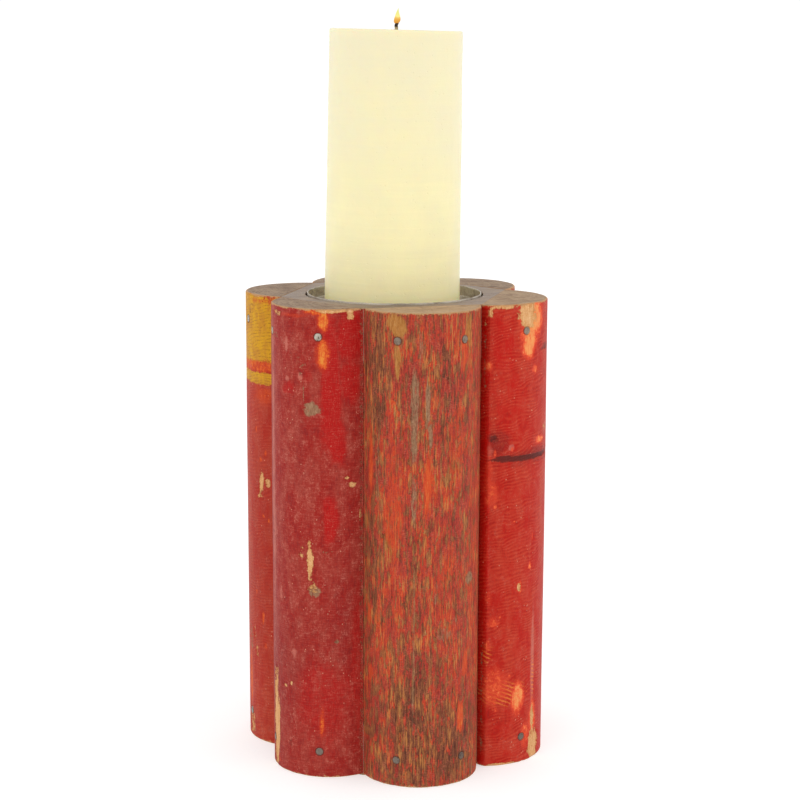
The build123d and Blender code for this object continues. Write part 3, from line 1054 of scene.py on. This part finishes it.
def pan():
    bearings = np.linspace(0, 2 * math.pi, PAN_COLUMNS, endpoint=False)
    foot, rim = PAN_FOOT, PAN_RIM
    outer, inner = PAN_RADIUS, PAN_RADIUS - PAN_SHEET
    middle = outer - PAN_BEND - PAN_SHEET
    corner = np.radians(np.linspace(15, 90, 6))
    wall = np.linspace(foot + 2.6, rim - 0.35, 5)

    def bend(radius, floor, angles):
        return [(middle + radius * math.sin(a), floor + radius * (1 - math.cos(a))) for a in angles]

    profile = [(r, foot) for r in np.linspace(4, middle, 14)]
    profile += bend(PAN_BEND + PAN_SHEET, foot, corner)
    profile += [(outer, z) for z in wall]
    profile += [(outer - 0.1, rim - 0.1), (outer - 0.3, rim), (inner + 0.1, rim - 0.1)]
    profile += [(inner, z) for z in wall[::-1]]
    profile += bend(PAN_BEND, foot + PAN_SHEET, corner[::-1])
    profile += [(r, foot + PAN_SHEET) for r in np.linspace(middle, 4, 14)]
    rings = []
    wobble = smooth_noise(bearings * 3, 0 * bearings, 1, 1, 71)
    dents = smooth_noise(bearings * 12, 0 * bearings, 1, 1, 72)
    for r, z in profile:
        up = smooth_step(z, foot, rim)
        sunk = 0.12 * smooth_noise(bearings * 2, r, 1, 14, 73)
        level = 0.16 * wobble * up - (1 - up) * np.abs(sunk) * (z > foot + PAN_SHEET / 2)
        rings.append(ring_at(bearings, r + up * (0.28 * wobble + 0.08 * dents - 0.2), z + level))
    loft("candle_dish", rings, HOLDER, tinplate(), ["candle_pan"])


# The candle leans a little to the viewer's right, and its top was cut slightly out of square.
LEAN_BEARING = math.radians(-15.75)
TOWARD = np.array([math.cos(LEAN_BEARING), math.sin(LEAN_BEARING)])
LEAN = 1.9
ASIDE = -1.3  # the candle does not stand quite in the middle of the pan
TOP_TILT = 1.7  # rise of the high side of the top over the low side
CANDLE_COLUMNS = 200
WAX_TOP_RADIUS = WAX_FOOT_RADIUS - 1.3
WAX_ARRIS = 1.2  # rounding of the top edge
MELTED = 1.4  # how far the middle of the top has sunk


def lean_at(height):
    """Sideways shift of the candle at a height."""
    share = (height - WAX_FOOT) / (WAX_TOP - WAX_FOOT)
    return TOWARD * (ASIDE + LEAN * share)


def candle():
    bearings = np.linspace(0, 2 * math.pi, CANDLE_COLUMNS, endpoint=False)
    tall = WAX_TOP - WAX_FOOT
    rings = [ring_at(bearings, r, WAX_FOOT) for r in (6, 14, 22, 30, 36)]
    rings.append(ring_at(bearings, WAX_FOOT_RADIUS - 0.5, WAX_FOOT + 0.05))
    near_top = [tall - depth for depth in (1.9, 1.2, 0.7, 0.3, 0.08)]
    for h in [0.3, 0.8, 1.5, *np.arange(3, tall - 2.2, 1.5), *near_top]:
        radius = WAX_FOOT_RADIUS + (WAX_TOP_RADIUS - WAX_FOOT_RADIUS) * h / tall
        into_arris = max(WAX_ARRIS - (tall - h), 0)
        radius -= WAX_ARRIS - math.sqrt(max(WAX_ARRIS**2 - into_arris**2, 0))
        radius -= 0.35 * max(0.0, 1 - h / 0.8)
        dent = 0.16 * smooth_noise(bearings * 6, h, 1, 24, 81)
        dent += 0.05 * smooth_noise(bearings * 30, h, 1, 3, 82)
        rings.append(ring_at(bearings, radius + dent, WAX_FOOT + h))
    for r in (34.6, 33, 30, 26, 21, 16, 11, 7, 4, 2.4):
        sink = MELTED * (1 - smooth_step(r, 14, 33)) + 0.1
        level = 0.12 * smooth_noise(bearings * 4, r, 1, 9, 83)
        rings.append(ring_at(bearings, r, WAX_TOP - sink + level))
    rings = np.array(rings)
    share = np.clip((rings[..., 2] - WAX_FOOT) / tall, 0, 1)
    along = rings[..., :2] @ TOWARD
    rings[..., 2] -= share**6 * TOP_TILT * (along / (2 * WAX_TOP_RADIUS) + 0.12)
    rings[..., :2] += TOWARD * (ASIDE + LEAN * share[..., None])
    loft("pillar_candle", rings, CANDLE, cream_wax(), ["candle_wax"])


def wick():
    """Three strands twisted together, bent over a little at the tip."""
    bearings = np.linspace(0, 2 * math.pi, 24, endpoint=False)
    foot = WAX_TOP - 3.0
    rings = []
    for z in np.linspace(foot, WICK_TOP - 0.4, 34):
        twist = 0.85 * (z - foot)
        strands = WICK_RADIUS * (0.74 + 0.16 * np.cos(3 * bearings + 2.4 * twist))
        thin = 1 - 0.45 * smooth_step(z, WICK_TOP - 1.6, WICK_TOP - 0.3)
        ring = ring_at(bearings, strands * thin, z)
        ring[:, :2] += lean_at(z) + 0.9 * smooth_step(z, WAX_TOP, WICK_TOP) ** 2 * TOWARD
        rings.append(ring)
    loft("braided_wick", rings, CANDLE, charred_wick(), ["candle_wick"])


FLAME_FOOT = WAX_TOP + 2.9
FLAME_TALL = 8.6
FLAME_RADIUS = 2.0


def flame():
    bearings = np.linspace(0, 2 * math.pi, 32, endpoint=False)
    rings = []
    for t in np.linspace(0.02, 0.985, 28):
        body = FLAME_RADIUS * math.sin(math.pi * t**0.58) ** 0.85 * (1 - 0.5 * t)
        body = body * (1 + 0.05 * np.cos(2 * bearings + 3 * t))
        ring = ring_at(bearings, body, FLAME_FOOT + FLAME_TALL * t)
        ring[:, :2] += lean_at(WAX_TOP) + (1.35 * t + 0.2 * math.sin(6 * t)) * TOWARD
        rings.append(ring)
    loft("candle_flame", rings, CANDLE, flame_glow())


for name in STAVES:
    stave(name)
block("top_block", sawn_wood("sawn_top_board"), recessed=True)
block("bottom_block", sawn_wood("sawn_foot_board", 0.92), recessed=False)
pan()
candle()
wick()
flame()
nail_metal = zinc()
for name in STAVES:
    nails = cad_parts[f"nails_{name}"]
    nails.data.materials.clear()
    nails.data.materials.append(nail_metal)

# ---- Floor, light and camera ----


def floor():
    mesh = bpy.data.meshes.new("floor")
    half = 30.0
    corners = [(-half, -half, 0), (half, -half, 0), (half, half, 0), (-half, half, 0)]
    mesh.from_pydata(corners, [], [(0, 1, 2, 3)])
    plane = bpy.data.objects.new("floor", mesh)
    bpy.context.scene.collection.objects.link(plane)
    look = Look("pale_floor")
    look.set(base_color=srgb(212, 212, 211), roughness=0.9, specular_ior_level=0.0)
    look.set(emission_color=(1, 1, 1, 1), emission_strength=0.46)
    mesh.materials.append(look.material)


def lamp(name, place, size, power, target=(0, 0, 0.2)):
    data = bpy.data.lights.new(name, "AREA")
    data.shape = "DISK"
    data.size = size
    data.energy = power
    lamp_object = bpy.data.objects.new(name, data)
    bpy.context.scene.collection.objects.link(lamp_object)
    lamp_object.location = place
    aim = Vector(target) - Vector(place)
    lamp_object.rotation_euler = aim.to_track_quat("-Z", "Y").to_euler()


def studio():
    world = bpy.data.worlds.new("white_tent")
    bpy.context.scene.world = world
    world.use_nodes = True
    background = world.node_tree.nodes["Background"]
    background.inputs["Color"].default_value = (1, 1, 1, 1)
    background.inputs["Strength"].default_value = 1.04
    lamp("key_lamp", (-1.3, -1.3, 1.1), 1.0, 2.2)
    lamp("fill_lamp", (1.3, -0.8, 0.9), 1.0, 1.8)
    view = bpy.context.scene.view_settings
    view.view_transform = "Standard"
    view.look = "None"
    view.exposure = 0.0
    view.gamma = 1.0


CAMERA_LENS = 90.6
CAMERA_TURN = math.radians(-15.75)
CAMERA_TILT = math.radians(10.5)
CAMERA_ROLL = math.radians(0.2)
CAMERA_AWAY = 1.1282
CAMERA_ASIDE = 0.0034
CAMERA_HEIGHT = 0.4097


def camera():
    data = bpy.data.cameras.new("camera")
    data.lens = CAMERA_LENS
    data.sensor_width = 36
    data.clip_start = 0.01
    data.dof.use_dof = False
    camera_object = bpy.data.objects.new("camera", data)
    bpy.context.scene.collection.objects.link(camera_object)
    camera_object.matrix_world = (
        Matrix.Rotation(CAMERA_TURN, 4, "Z")
        @ Matrix.Translation((CAMERA_ASIDE, -CAMERA_AWAY, CAMERA_HEIGHT))
        @ Matrix.Rotation(math.radians(90) - CAMERA_TILT, 4, "X")
        @ Matrix.Rotation(CAMERA_ROLL, 4, "Z")
    )
    bpy.context.scene.camera = camera_object


floor()
studio()
camera()
